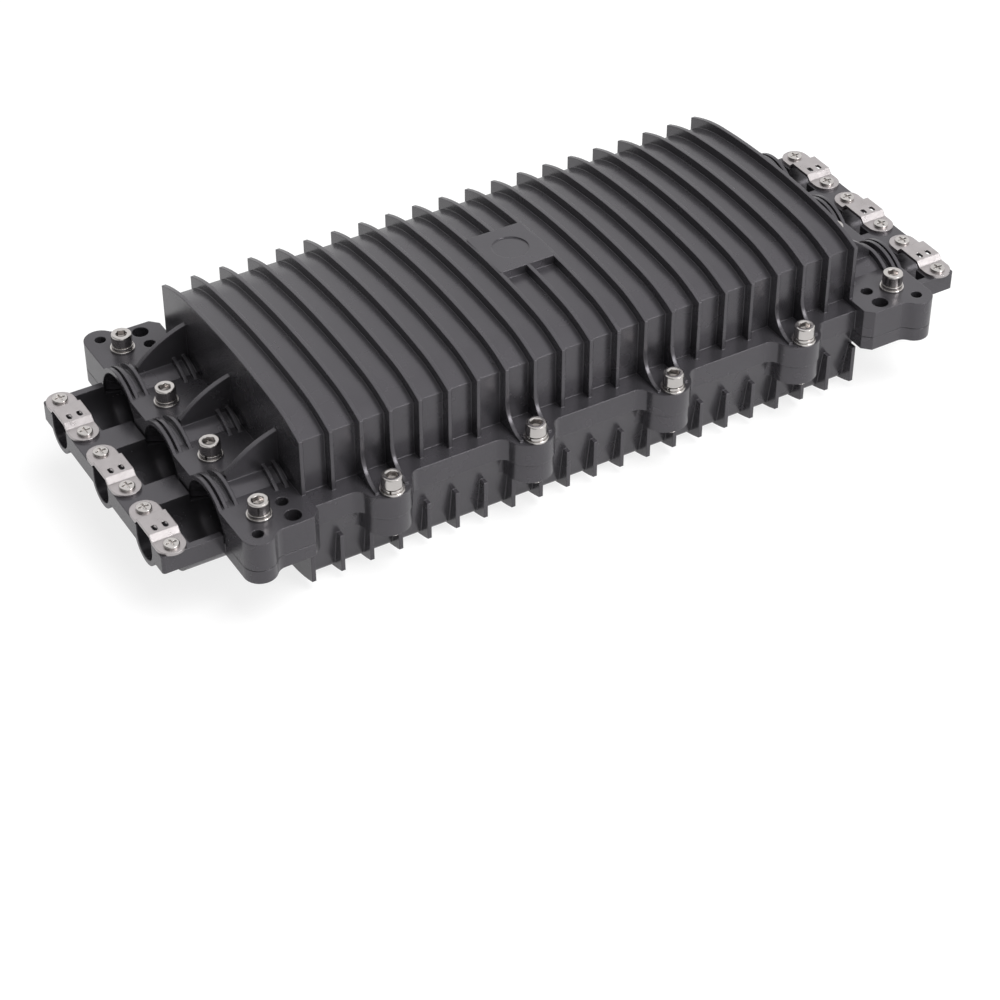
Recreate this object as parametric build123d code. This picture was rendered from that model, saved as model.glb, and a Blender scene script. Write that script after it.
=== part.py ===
from build123d import *
import math
import os

# Horizontal fibre splice closure: two ribbed plastic shells bolted along a flange, with three
# cable ports at each end and a hinged stack of splice trays inside.
# Z = 0 is the surface it rests on, X runs along the closure, and -Y is the front long side.

# Ribbed housing
RIB_PITCH = 15.0
RIB_COUNT = 21
RIB_THICK = 2.0
RIB_STAND = 4.5
WALL = 3.0
PARTING_Z = 36.0
PARTING_GAP = 0.3
OVERCUT = 1.0
CLOSE = 0.01

# Cover arch
COVER_HALF_W = 65.5
COVER_SIDE_Z = 77.0
COVER_CROWN_Z = 85.5
FIN_DEPTH = 5.0
FIN_TIP_RISE = 3.5
KNEE_Y = 45.0
KNEE_DROP = 2.6

# Base tub, whose walls lean out from the floor to the parting face
BASE_DRAFT = 5.0
BASE_SIDE_WALL = 4.5
BASE_FLOOR_Z = 3.0
BASE_CORNER_R = 4.0
KEEL_HALF_W = 50.0
BASE_FIN_INSET = 0.1
FIN_TOE_Z = 5.0
FIN_TOP_Z = 25.5

# Side flange and its bolt bosses, measured outwards from the cover
FLANGE_REACH = 11.0
FLANGE_OVERHANG = 2.0
FLANGE_TOP_Z = 48.0
SIDE_BOLT_REACH = 18.0
SIDE_BOLT_PITCH = 75.0
SIDE_BOLT_COUNT = 4
BOSS_R = 12.0
BOSS_SET_BACK = 6.0
BOSS_BLEND_R = 6.0
BOSS_LOW_Z = 26.0
BOSS_INSET = 0.5
FLARE_STEP = 1.0

# End flange and its ears
END_DEPTH = 36.5
END_TOP_Z = 51.0
END_LOW_Z = 29.0
EAR_REACH = 10.0
EAR_CUT = 4.0
TIP_R = 8.0
TIP_INSET = 2.5
TIP_BLEND_R = 6.0
TIP_HOLE_R = 2.75
EAR_HOLE_R = 4.0
EAR_HOLE_INSET = 9.3
EAR_HOLE_EDGE = 6.3
VENT_HOLE_R = 3.0
VENT_HOLE_EDGE = 17.2
END_BOLT_INSET = 14.5
END_BOLT_REACH = 25.6

# Cable ports
PORT_PITCH = 46.9
PORT_COUNT = 3
BARREL_R = 18.0
RING_R = 21.0
RING_THICK = 1.8
RING_INSETS = (3.0, 8.0, 28.0, 33.0)
BORE_R = 14.0
SEAL_R = 11.0
SEAL_RIB_COUNT = 5
SEAL_RIB_PITCH = 5.0
SEAL_RIB_THICK = 1.6
SEAL_RIB_INSET = 2.5
FLARE_DEPTH = 9.0
MOUTH_R = 18.6

# Gussets that brace the end wall over each port
GUSSET_THICK = 2.5
GUSSET_REACH = 26.0
GUSSET_TOP_Z = 73.5
GUSSET_TOE_Z = 57.5
GUSSET_BOW = 2.4

# Raised plate on the crown, level with the ribs and left bare but for a plain round recess
BADGE_LENGTH = 30.0
BADGE_WIDTH = 32.6
BADGE_Y = 2.6
BADGE_CORNER_R = 1.0
BADGE_DISH_R = 9.0
BADGE_DISH_DEPTH = 0.6

# Cable cradle outside each end of the cover
CRADLE_GAP = 0.5
CRADLE_LENGTH = 30.0
CRADLE_MARGIN = 19.1
CRADLE_TOP_Z = 40.5
CRADLE_LOW_Z = 31.0
CRADLE_CORNER_R = 1.5
POCKET_LENGTH = 15.0
POCKET_R = 15.5
TROUGH_R = 8.0
TROUGH_DROP = 1.1
TROUGH_WALL = 2.5

# Cable saddles and their screws
SADDLE_WIDTH = 14.0
SADDLE_LENGTH = 41.0
SADDLE_SET_OUT = 0.5
SADDLE_THICK = 1.5
SADDLE_RISE = 2.6
SADDLE_CROWN_HALF = 6.5
SADDLE_FOOT_HALF = 9.0
SADDLE_SLOT = (4.2, 2.4)
SADDLE_SLOT_X = 2.6
SADDLE_SLOT_Y = -3.0
SADDLE_SCREW_Y = 14.5
SCREW_R = 2.0
SCREW_HEAD_R = 3.8
SCREW_HEAD_H = 1.3
SCREW_HEAD_ROUND = 0.6
SCREW_LENGTH = 10.0
SCREW_SLOT = (5.0, 1.1, 0.9)

# Closing bolts, washers and captive nuts
BOLT_R = 3.0
BOLT_HEAD_R = 5.0
BOLT_HEAD_H = 6.0
BOLT_SHANK = 28.0
BOLT_KEY_FLATS = 5.0
BOLT_KEY_DEPTH = 3.0
FLAT_WASHER_R = 6.0
FLAT_WASHER_H = 1.2
SPRING_WASHER_R = 5.3
SPRING_WASHER_H = 1.6
SPRING_WASHER_SPLIT = 1.0
BOLT_CLEARANCE = 0.3
NUT_CLEARANCE = 0.15
NUT_R = 4.4
NUT_H = 5.0
NUT_POCKET_H = 4.0
NUT_POCKET_PLAY = 0.1

# Side gaskets in grooves along the parting face
GASKET_REACH = 5.5
GASKET_W = 3.0
GASKET_H = 2.6
GASKET_PLAY = 0.15
GASKET_TAIL = 8.5

# Tray plate inside the base
PLATE_END_PLAY = 3.5
PLATE_SIDE_PLAY = 7.0
PLATE_TOP_Z = 31.0
PLATE_THICK = 1.5
PLATE_CORNER_R = 4.0
WINDOW_SIZE = (10.0, 28.0)
WINDOW_X = 117.0
WINDOW_Y = -10.0
TAB_SIZE = (12.0, 1.5, 6.0)
TAB_X = 120.0
STANDOFF_R = 5.0
STANDOFF_XS = (-132.0, 0.0, 132.0)
STANDOFF_Y = 50.0

# Posts that grip each cable's strength member
POST_X = 96.0
POST_BASE_R = 7.0
POST_BASE_H = 3.0
POST_R = 2.5
POST_H = 20.0
POST_NUT_R = 4.5
POST_NUT_H = 4.0
POST_NUT_Z = 8.0
POST_CAP_R = 3.6
POST_CAP_H = 2.5

# Splice trays, hinged one above the other at the left end of the stack
TRAY_COUNT = 6
TRAY_HALF_L = 65.0
TRAY_END_HALF_W = 35.0
TRAY_MID_HALF_W = 41.0
TRAY_CORNER_R = 7.0
TRAY_H = 5.4
TRAY_PITCH = 6.4
TRAY_SKIN = 1.2
TRAY_FIRST_Z = 35.0
TRAY_NOTCH = (8.0, 3.0)
TRAY_NOTCH_PITCH = 26.0
TRAY_NOTCH_COUNT = 4
HINGE_REACH = 8.0
HINGE_TONGUE = 2.0
HINGE_KNUCKLE_R = 2.2
HINGE_PIN_R = 1.5
HINGE_RUN = 0.06
HINGE_HALF_W = 26.0
HINGE_SIDE_PLAY = 0.3
CHEEK_THICK = 3.0
CHEEK_DEPTH = 9.0
BRACKET_TOP_RISE = 5.0
BRACKET_FOOT_H = 2.0
HOLDER_SIZE = (36.0, 24.0)
HOLDER_FLOOR = 0.8
HOLDER_H = 3.4
HOLDER_RIBS = 5
HOLDER_RIB_THICK = 1.2
LID_THICK = 1.0
LID_INSET = 1.5

# Sizes that follow from the ones above
HALF_L = RIB_PITCH * (RIB_COUNT - 1) / 2 + RIB_THICK / 2
FLANGE_HALF_W = COVER_HALF_W + FLANGE_REACH
BASE_RIM_HALF_W = FLANGE_HALF_W - FLANGE_OVERHANG
BASE_FOOT_HALF_W = BASE_RIM_HALF_W - BASE_DRAFT
BASE_CAVITY_HALF_W = BASE_FOOT_HALF_W - BASE_SIDE_WALL
PLATE_HALF_L = HALF_L - WALL - PLATE_END_PLAY
PLATE_HALF_W = BASE_CAVITY_HALF_W - PLATE_SIDE_PLAY
BASE_FIN_HALF_W = FLANGE_HALF_W - BASE_FIN_INSET
BASE_BOSS_ROOT_HALF_W = BASE_FOOT_HALF_W + BASE_DRAFT / 2
SIDE_BOLT_Y = COVER_HALF_W + SIDE_BOLT_REACH
BOSS_Y = SIDE_BOLT_Y - BOSS_SET_BACK
GASKET_Y = COVER_HALF_W + GASKET_REACH
EAR_HALF_W = FLANGE_HALF_W + EAR_REACH
TIP_Y = EAR_HALF_W - TIP_INSET
EAR_HOLE_Y = EAR_HALF_W - EAR_HOLE_EDGE
VENT_HOLE_Y = EAR_HALF_W - VENT_HOLE_EDGE
END_X = HALF_L + END_DEPTH
END_BOLT_X = END_X - END_BOLT_INSET
END_BOLT_YS = (PORT_PITCH / 2, PORT_PITCH + END_BOLT_REACH)
CRADLE_HALF_W = PORT_PITCH + CRADLE_MARGIN
CRADLE_X = END_X + CRADLE_GAP
CRADLE_END_X = CRADLE_X + CRADLE_LENGTH
POCKET_END_X = CRADLE_X + POCKET_LENGTH
SADDLE_X = (POCKET_END_X + CRADLE_END_X) / 2 + SADDLE_SET_OUT
COVER_LOW_Z = PARTING_Z + PARTING_GAP
FIN_TIP_Y = COVER_HALF_W + FIN_DEPTH
TIP_X = END_X - TIP_R
EAR_HOLE_X = HALF_L + EAR_HOLE_INSET
RIB_XS = [RIB_PITCH * (index - (RIB_COUNT - 1) / 2) for index in range(RIB_COUNT)]
PORT_YS = [PORT_PITCH * (index - (PORT_COUNT - 1) / 2) for index in range(PORT_COUNT)]
SIDE_BOLT_XS = [
    SIDE_BOLT_PITCH * (index - (SIDE_BOLT_COUNT - 1) / 2) for index in range(SIDE_BOLT_COUNT)
]
SIDE_BOLTS = [(x, side * SIDE_BOLT_Y) for x in SIDE_BOLT_XS for side in (-1, 1)]
BOSSES = [(x, side * BOSS_Y) for x in SIDE_BOLT_XS for side in (-1, 1)]
END_BOLTS = [(end * END_BOLT_X, side * y) for end in (-1, 1) for y in END_BOLT_YS for side in (-1, 1)]
SEATS = [(x, y, FLANGE_TOP_Z, BOSS_LOW_Z) for x, y in SIDE_BOLTS]
SEATS += [(x, y, END_TOP_Z, END_LOW_Z) for x, y in END_BOLTS]
WASHER_STACK = FLAT_WASHER_H + SPRING_WASHER_H
PLATE_LOW_Z = PLATE_TOP_Z - PLATE_THICK
BASE_DECK_Z = BASE_FLOOR_Z + WALL
STANDOFFS = [(x, side * STANDOFF_Y) for x in STANDOFF_XS for side in (-1, 1)]
POSTS = [(end * POST_X, y) for end in (-1, 1) for y in PORT_YS]
HINGE_X = -TRAY_HALF_L - HINGE_REACH
TRAY_ZS = [TRAY_FIRST_Z + TRAY_PITCH * index for index in range(TRAY_COUNT)]
SADDLES = [(end * SADDLE_X, y) for end in (-1, 1) for y in PORT_YS]


def rise(face, low_z, high_z):
    """Raise a plan outline from one height to another."""
    return extrude(Pos(0, 0, low_z) * face, amount=high_z - low_z, dir=(0, 0, 1))


def run(section, low_x, high_x):
    """Run a cross-section, drawn in Y and Z, from one X to another."""
    return extrude(Plane.YZ.offset(low_x) * section, amount=high_x - low_x, dir=(1, 0, 0))


def both_ends(solid):
    """The right-hand solid together with its mirror image at the left end."""
    return solid + mirror(solid, Plane.YZ)


def rod(x, y, radius, low_z, high_z):
    """Upright round bar between two heights."""
    return Pos(x, y, low_z) * Cylinder(radius, high_z - low_z, align=(Align.CENTER, Align.CENTER, Align.MIN))


def hexagon(flats):
    """Regular hexagon with a given width across its flats."""
    return RegularPolygon(flats / math.sqrt(3), 6)


def arch_section(half_w, foot_z, side_z, crown_z):
    """Upright sides, tight shoulders and a nearly flat crown."""
    crown = ThreePointArc((KNEE_Y, crown_z - KNEE_DROP), (0, crown_z), (-KNEE_Y, crown_z - KNEE_DROP))
    left = TangentArc(crown @ 1, (-half_w, side_z), tangent=crown % 1)
    right = TangentArc(crown @ 0, (half_w, side_z), tangent=-(crown % 0))
    sides = Polyline((half_w, side_z), (half_w, foot_z), (-half_w, foot_z), (-half_w, side_z))
    return make_face(crown + left + right + sides)


def half_disc(radius, up):
    """Half of a port's round section, above or below the parting plane."""
    arc = ThreePointArc((-radius, 0), (0, radius if up else -radius), (radius, 0))
    return Pos(0, PARTING_Z) * make_face(arc + Line((radius, 0), (-radius, 0)))


def open_trough(radius):
    """Round-bottomed section that is open upwards, centred on a port."""
    height = 2 * radius
    return Pos(0, PARTING_Z) * (Circle(radius) + Pos(0, height / 2) * Rectangle(2 * radius, height))


def side_flange_outline(half_w, boss_r):
    """Plan of a long flange, with a rounded bulge at each side bolt."""
    outline = Rectangle(2 * HALF_L, 2 * half_w)
    for x, y in BOSSES:
        outline += Pos(x, y) * Circle(boss_r)
    crooks = [
        corner
        for corner in outline.vertices()
        if abs(abs(corner.Y) - half_w) < CLOSE and abs(corner.X) < HALF_L - CLOSE
    ]
    return fillet(crooks, BOSS_BLEND_R)


def end_outline():
    """Plan of the right-hand end flange, with cut inner corners and round tips."""
    reach = math.sqrt(TIP_R**2 - (EAR_HALF_W - TIP_Y) ** 2)
    slant = TIP_R * math.sqrt(0.5)
    inner_x = HALF_L - RIB_THICK
    tip = ThreePointArc((TIP_X - reach, EAR_HALF_W), (TIP_X + slant, TIP_Y + slant), (END_X, TIP_Y))
    flank = Polyline((END_X, TIP_Y), (END_X, 0), (inner_x, 0), (inner_x, EAR_HALF_W - EAR_CUT))
    brow = Polyline((inner_x, EAR_HALF_W - EAR_CUT), (inner_x + EAR_CUT, EAR_HALF_W), tip @ 0)
    half = make_face(tip + flank + brow)
    outline = half + mirror(half, Plane.XZ)
    crooks = [corner for corner in outline.vertices() if abs(corner.X - (TIP_X - reach)) < CLOSE]
    return fillet(crooks, TIP_BLEND_R)


def port_bore(mouth_r):
    """Sealing bore crossed by ribs and flared at its mouth, as a revolved cutter along X."""
    inner_x = HALF_L - 2 * WALL
    points = [(inner_x, 0), (inner_x, BORE_R)]
    for index in range(SEAL_RIB_COUNT):
        near_x = HALF_L + SEAL_RIB_INSET + index * SEAL_RIB_PITCH
        far_x = near_x + SEAL_RIB_THICK
        points += [(near_x, BORE_R), (near_x, SEAL_R), (far_x, SEAL_R), (far_x, BORE_R)]
    beyond_x = END_X + CRADLE_GAP
    points += [(END_X - FLARE_DEPTH, BORE_R), (END_X, mouth_r), (beyond_x, mouth_r), (beyond_x, 0)]
    return revolve(make_face(Polyline(*points, close=True)), Axis.X)


def ear_holes(low_z, high_z):
    """The three through holes of each ear at the right-hand end."""
    holes = []
    for side in (-1, 1):
        holes.append(rod(TIP_X, side * TIP_Y, TIP_HOLE_R, low_z, high_z))
        holes.append(rod(EAR_HOLE_X, side * EAR_HOLE_Y, EAR_HOLE_R, low_z, high_z))
        holes.append(rod(EAR_HOLE_X, side * VENT_HOLE_Y, VENT_HOLE_R, low_z, high_z))
    return Compound(children=holes)


def bolt_holes(low_z, high_z):
    """Clearance holes for every closing bolt."""
    return [rod(x, y, BOLT_R + BOLT_CLEARANCE, low_z, high_z) for x, y, _, _ in SEATS]


def gusset():
    """Curved brace between the end wall and a port barrel, on the port's centre line."""
    root_x = HALF_L - RIB_THICK
    toe_x = HALF_L + GUSSET_REACH
    root_z = PARTING_Z + BORE_R + OVERCUT
    middle = ((root_x + toe_x) / 2, (GUSSET_TOE_Z + GUSSET_TOP_Z) / 2)
    lean = math.atan2(GUSSET_TOP_Z - GUSSET_TOE_Z, toe_x - root_x)
    bowed = (middle[0] + GUSSET_BOW * math.sin(lean), middle[1] + GUSSET_BOW * math.cos(lean))
    brow = ThreePointArc((root_x, GUSSET_TOP_Z), bowed, (toe_x, GUSSET_TOE_Z))
    feet = Polyline((toe_x, GUSSET_TOE_Z), (toe_x, root_z), (root_x, root_z), (root_x, GUSSET_TOP_Z))
    return extrude(Plane.XZ * make_face(brow + feet), amount=GUSSET_THICK / 2, both=True)


def fin_flare(x, side):
    """Concave foot that a cover fin grows beside a side bolt."""
    sweep = SIDE_BOLT_Y - FIN_TIP_Y
    toe_z = FLANGE_TOP_Z + FLARE_STEP
    root_y = COVER_HALF_W - WALL / 2
    curve = TangentArc((side * FIN_TIP_Y, toe_z + sweep), (side * SIDE_BOLT_Y, toe_z), tangent=(0, -1))
    feet = Polyline(
        (side * SIDE_BOLT_Y, toe_z),
        (side * SIDE_BOLT_Y, FLANGE_TOP_Z - OVERCUT),
        (side * root_y, FLANGE_TOP_Z - OVERCUT),
        (side * root_y, toe_z + sweep),
        (side * FIN_TIP_Y, toe_z + sweep),
    )
    return run(make_face(curve + feet), x - RIB_THICK / 2, x + RIB_THICK / 2)


def flared_ribs():
    """Positions of the cover fins on either side of each side bolt."""
    beside = [x for x in RIB_XS if any(abs(x - bolt_x) < RIB_PITCH for bolt_x in SIDE_BOLT_XS)]
    return [(x, side) for x in beside for side in (-1, 1)]


def cover_end():
    """Right-hand end of the cover: flange, port barrels with rings, and gussets."""
    block = rise(end_outline(), COVER_LOW_Z, END_TOP_Z)
    for y in PORT_YS:
        block += run(Pos(y, 0) * half_disc(BARREL_R, True), HALF_L - RIB_THICK, END_X)
        block += run(Pos(y, 0) * half_disc(RING_R, True), END_X - RING_THICK, END_X)
        for inset in RING_INSETS:
            ring_x = END_X - RING_THICK - inset
            block += run(Pos(y, 0) * half_disc(RING_R, True), ring_x, ring_x + RING_THICK)
        block += Pos(0, y, 0) * gusset()
    return block - rise(Rectangle(4 * END_X, 4 * EAR_HALF_W), 0, COVER_LOW_Z)


def badge():
    """Raised plate between two ribs of the crown."""
    low_z = COVER_CROWN_Z - WALL / 2
    high_z = COVER_CROWN_Z + RIB_STAND
    plan = Pos(0, BADGE_Y) * RectangleRounded(BADGE_LENGTH, BADGE_WIDTH, BADGE_CORNER_R)
    return rise(plan, low_z, high_z)


def cover_shell():
    """Arched cover with ribs, side fins, bolt flange, end flanges and port halves in one moulding."""
    crown_z = COVER_CROWN_Z + RIB_STAND
    tip_z = COVER_SIDE_Z + FIN_TIP_RISE
    shell = run(arch_section(COVER_HALF_W, COVER_LOW_Z, COVER_SIDE_Z, COVER_CROWN_Z), -HALF_L, HALF_L)
    rib = arch_section(FIN_TIP_Y, FLANGE_TOP_Z - OVERCUT, tip_z, crown_z)
    ribs = [run(rib, x - RIB_THICK / 2, x + RIB_THICK / 2) for x in RIB_XS]
    dish = rod(0, BADGE_Y, BADGE_DISH_R, crown_z - BADGE_DISH_DEPTH, crown_z + OVERCUT)
    flares = [fin_flare(x, side) for x, side in flared_ribs()]
    shell = shell + ribs + flares + badge() - dish
    shell += rise(side_flange_outline(FLANGE_HALF_W, BOSS_R), COVER_LOW_Z, FLANGE_TOP_Z)
    shell += both_ends(cover_end())
    cavity = arch_section(
        COVER_HALF_W - WALL, COVER_LOW_Z - OVERCUT, COVER_SIDE_Z - WALL, COVER_CROWN_Z - WALL
    )
    shell -= run(cavity, WALL - HALF_L, HALF_L - WALL)
    bores = [Pos(0, y, PARTING_Z) * port_bore(MOUTH_R) for y in PORT_YS]
    bores += [mirror(bore, Plane.YZ) for bore in bores]
    shell -= bores
    shell -= both_ends(ear_holes(COVER_LOW_Z - OVERCUT, END_TOP_Z + OVERCUT))
    shell -= bolt_holes(COVER_LOW_Z - OVERCUT, END_TOP_Z + OVERCUT)
    return shell


def base_rib_section():
    """Rib under the tub: flat keel that sweeps up to the toes of two blunt-topped side fins."""
    reach = BASE_FIN_HALF_W
    right = TangentArc((KEEL_HALF_W, 0), (reach, FIN_TOE_Z), tangent=(1, 0))
    left = TangentArc((-KEEL_HALF_W, 0), (-reach, FIN_TOE_Z), tangent=(-1, 0))
    sides = Polyline((reach, FIN_TOE_Z), (reach, FIN_TOP_Z), (-reach, FIN_TOP_Z), (-reach, FIN_TOE_Z))
    return make_face(right + left + sides + Line((-KEEL_HALF_W, 0), (KEEL_HALF_W, 0)))


def tub_section(low_half_w, high_half_w, low_z, high_z, corner_r):
    """Tub section with leaning sides and rounded lower corners."""
    rim = [(high_half_w, high_z), (-high_half_w, high_z)]
    face = make_face(Polyline((-low_half_w, low_z), (low_half_w, low_z), *rim, close=True))
    corners = [corner for corner in face.vertices() if corner.Y < (low_z + high_z) / 2]
    return fillet(corners, corner_r)


def cradle():
    """Right-hand end of the base outside the tub: flange, port barrels and the cable cradle."""
    block = rise(end_outline(), END_LOW_Z, PARTING_Z)
    deck = Pos((CRADLE_X + CRADLE_END_X) / 2, 0) * Rectangle(CRADLE_LENGTH, 2 * CRADLE_HALF_W)
    outer = [corner for corner in deck.vertices() if corner.X > SADDLE_X]
    block += rise(fillet(outer, CRADLE_CORNER_R), CRADLE_LOW_Z, CRADLE_TOP_Z)
    link = Pos(CRADLE_X, 0) * Rectangle(4 * CRADLE_GAP, 2 * CRADLE_HALF_W)
    block += rise(link, CRADLE_LOW_Z, PARTING_Z)
    for y in PORT_YS:
        block += run(Pos(y, 0) * half_disc(BARREL_R, False), HALF_L - RIB_THICK, POCKET_END_X + TROUGH_WALL)
        shelf = half_disc(TROUGH_R + TROUGH_WALL, False)
        block += run(Pos(y, -TROUGH_DROP) * shelf, POCKET_END_X, CRADLE_END_X)
    for y in PORT_YS:
        block -= run(Pos(y, 0) * open_trough(POCKET_R), END_X, POCKET_END_X)
        trough = Pos(y, -TROUGH_DROP) * open_trough(TROUGH_R)
        block -= run(trough, POCKET_END_X - OVERCUT, CRADLE_END_X + OVERCUT)
        for side in (-1, 1):
            screw_y = y + side * SADDLE_SCREW_Y
            block -= rod(SADDLE_X, screw_y, SCREW_R, CRADLE_TOP_Z - SCREW_LENGTH, CRADLE_TOP_Z + OVERCUT)
    return block


def gasket_band(side, width):
    """Plan of a side gasket or its groove as a bent strip of the given width."""
    tail_x = HALF_L + WALL / 2
    half = width / 2
    tail_length = GASKET_TAIL + half
    band = Pos(0, side * GASKET_Y) * Rectangle(2 * tail_x + width, width)
    tail_y = side * (GASKET_Y + half - tail_length / 2)
    for end in (-1, 1):
        band += Pos(end * tail_x, tail_y) * Rectangle(width, tail_length)
    return band


def base_shell():
    """Ribbed tub with flange, fins, port halves, cable cradles and tray standoffs in one moulding."""
    tub = tub_section(BASE_FOOT_HALF_W, BASE_RIM_HALF_W, BASE_FLOOR_Z, PARTING_Z, BASE_CORNER_R)
    shell = run(tub, -HALF_L, HALF_L)
    rib = base_rib_section()
    shell = shell + [run(rib, x - RIB_THICK / 2, x + RIB_THICK / 2) for x in RIB_XS]
    bosses = side_flange_outline(BASE_BOSS_ROOT_HALF_W, BOSS_R - BOSS_INSET)
    shell += rise(bosses, BOSS_LOW_Z, PARTING_Z)
    shell += both_ends(cradle())
    half_w = BASE_CAVITY_HALF_W
    cavity = tub_section(half_w, half_w, BASE_DECK_Z, PARTING_Z + OVERCUT, BASE_CORNER_R - WALL / 2)
    shell -= run(cavity, WALL - HALF_L, HALF_L - WALL)
    shell = shell + [rod(x, y, STANDOFF_R, BASE_DECK_Z - OVERCUT, PLATE_LOW_Z) for x, y in STANDOFFS]
    shell -= [rod(x, y, SCREW_R, PLATE_TOP_Z - SCREW_LENGTH, PLATE_TOP_Z) for x, y in STANDOFFS]
    bores = [Pos(0, y, PARTING_Z) * port_bore(POCKET_R) for y in PORT_YS]
    bores += [mirror(bore, Plane.YZ) for bore in bores]
    shell -= bores
    shell -= both_ends(ear_holes(END_LOW_Z - OVERCUT, PARTING_Z + OVERCUT))
    shell -= bolt_holes(BOSS_LOW_Z - OVERCUT, PARTING_Z + OVERCUT)
    for side in (-1, 1):
        groove = gasket_band(side, GASKET_W + 2 * GASKET_PLAY)
        shell -= rise(groove, PARTING_Z - GASKET_H, PARTING_Z + OVERCUT)
    for x, y, _, low_z in SEATS:
        shell -= rod(x, y, NUT_R + NUT_POCKET_PLAY, low_z - NUT_H, low_z + NUT_POCKET_H)
    return shell


def gasket(side):
    """Soft square cord that lies in one side groove."""
    return rise(gasket_band(side, GASKET_W), PARTING_Z - GASKET_H, PARTING_Z)


def bolt(x, y, seat_z):
    """Socket head closing bolt on its washers."""
    head_z = seat_z + WASHER_STACK
    top_z = head_z + BOLT_HEAD_H
    head = rod(x, y, BOLT_HEAD_R, head_z, top_z)
    key = rise(Pos(x, y) * hexagon(BOLT_KEY_FLATS), top_z - BOLT_KEY_DEPTH, top_z + OVERCUT)
    return head + rod(x, y, BOLT_R, head_z - BOLT_SHANK, head_z + OVERCUT) - key


def flat_washer(x, y, seat_z):
    """Plain washer on the flange."""
    ring = rod(x, y, FLAT_WASHER_R, seat_z, seat_z + FLAT_WASHER_H)
    return ring - rod(x, y, BOLT_R + BOLT_CLEARANCE, seat_z - OVERCUT, seat_z + FLAT_WASHER_H + OVERCUT)


def spring_washer(x, y, seat_z):
    """Split lock washer between the plain washer and the bolt head."""
    low_z = seat_z + FLAT_WASHER_H
    top_z = low_z + SPRING_WASHER_H
    ring = rod(x, y, SPRING_WASHER_R, low_z, top_z)
    ring -= rod(x, y, BOLT_R + BOLT_CLEARANCE, low_z - OVERCUT, top_z + OVERCUT)
    split = Rectangle(SPRING_WASHER_SPLIT, 2 * SPRING_WASHER_R)
    return ring - rise(Pos(x, y - SPRING_WASHER_R) * split, low_z - OVERCUT, top_z + OVERCUT)


def captive_nut(x, y, low_z):
    """Round captive nut held in a pocket under the base flange."""
    top_z = low_z + NUT_POCKET_H
    nut = rod(x, y, NUT_R, top_z - NUT_H, top_z)
    return nut - rod(x, y, BOLT_R + NUT_CLEARANCE, top_z - NUT_H - OVERCUT, top_z + OVERCUT)


def screw_head(x, y, seat_z):
    """Low, round-edged head of a screw, with a cross slot."""
    top_z = seat_z + SCREW_HEAD_H
    head = rod(x, y, SCREW_HEAD_R, seat_z, top_z)
    head = fillet(head.faces().sort_by(Axis.Z)[-1].edges(), SCREW_HEAD_ROUND)
    length, width, depth = SCREW_SLOT
    cross = Rectangle(length, width) + Rectangle(width, length)
    return head - rise(Pos(x, y) * cross, top_z - depth, top_z + OVERCUT)


def saddle(x, y):
    """Pressed steel saddle that holds a cable down in its trough."""
    end_y = SADDLE_LENGTH / 2
    low = [
        (-end_y, 0), (-SADDLE_FOOT_HALF, 0), (-SADDLE_CROWN_HALF, SADDLE_RISE),
        (SADDLE_CROWN_HALF, SADDLE_RISE), (SADDLE_FOOT_HALF, 0), (end_y, 0),
    ]
    high = [(across, up + SADDLE_THICK) for across, up in reversed(low)]
    section = Pos(y, CRADLE_TOP_Z) * make_face(Polyline(*low, *high, close=True))
    strap = run(section, x - SADDLE_WIDTH / 2, x + SADDLE_WIDTH / 2)
    plan = Pos(x, y) * Rot(0, 0, 90) * SlotOverall(SADDLE_LENGTH, SADDLE_WIDTH)
    top_z = CRADLE_TOP_Z + SADDLE_RISE + SADDLE_THICK
    strap &= rise(plan, CRADLE_TOP_Z, top_z)
    for side in (-1, 1):
        slot = Pos(x + side * SADDLE_SLOT_X, y + SADDLE_SLOT_Y) * Rot(0, 0, 90) * SlotOverall(*SADDLE_SLOT)
        strap -= rise(slot, CRADLE_TOP_Z, top_z + OVERCUT)
        strap -= rod(x, y + side * SADDLE_SCREW_Y, SCREW_R, CRADLE_TOP_Z - OVERCUT, top_z)
    return strap


def saddle_screws():
    """Screws of every saddle, with shanks down into the cradle."""
    screws = []
    top_z = CRADLE_TOP_Z + SADDLE_THICK
    for x, y in SADDLES:
        for side in (-1, 1):
            screw_y = y + side * SADDLE_SCREW_Y
            shank = rod(x, screw_y, SCREW_R, CRADLE_TOP_Z - SCREW_LENGTH, top_z)
            screws.append(screw_head(x, screw_y, top_z) + shank)
    return screws


def tray_plate():
    """Folded metal plate that carries the trays and posts on the standoffs."""
    plan = RectangleRounded(2 * PLATE_HALF_L, 2 * PLATE_HALF_W, PLATE_CORNER_R)
    plate = rise(plan, PLATE_LOW_Z, PLATE_TOP_Z)
    low_z = PLATE_LOW_Z - OVERCUT
    high_z = PLATE_TOP_Z + OVERCUT
    length, thick, height = TAB_SIZE
    tab_y = PLATE_HALF_W - thick / 2
    for end in (-1, 1):
        plate -= rise(Pos(end * WINDOW_X, WINDOW_Y) * Rectangle(*WINDOW_SIZE), low_z, high_z)
        plate += rise(Pos(end * TAB_X, tab_y) * Rectangle(length, thick), PLATE_LOW_Z, PLATE_TOP_Z + height)
    holes = [rod(x, y, SCREW_R, low_z, high_z) for x, y in STANDOFFS]
    holes += [rod(x, y, POST_R, low_z, high_z) for x, y in POSTS]
    return plate - holes


def plate_screws():
    """Screws that hold the tray plate to its standoffs."""
    screws = []
    for x, y in STANDOFFS:
        shank = rod(x, y, SCREW_R, PLATE_TOP_Z - SCREW_LENGTH, PLATE_TOP_Z)
        screws.append(screw_head(x, y, PLATE_TOP_Z) + shank)
    return screws


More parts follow.
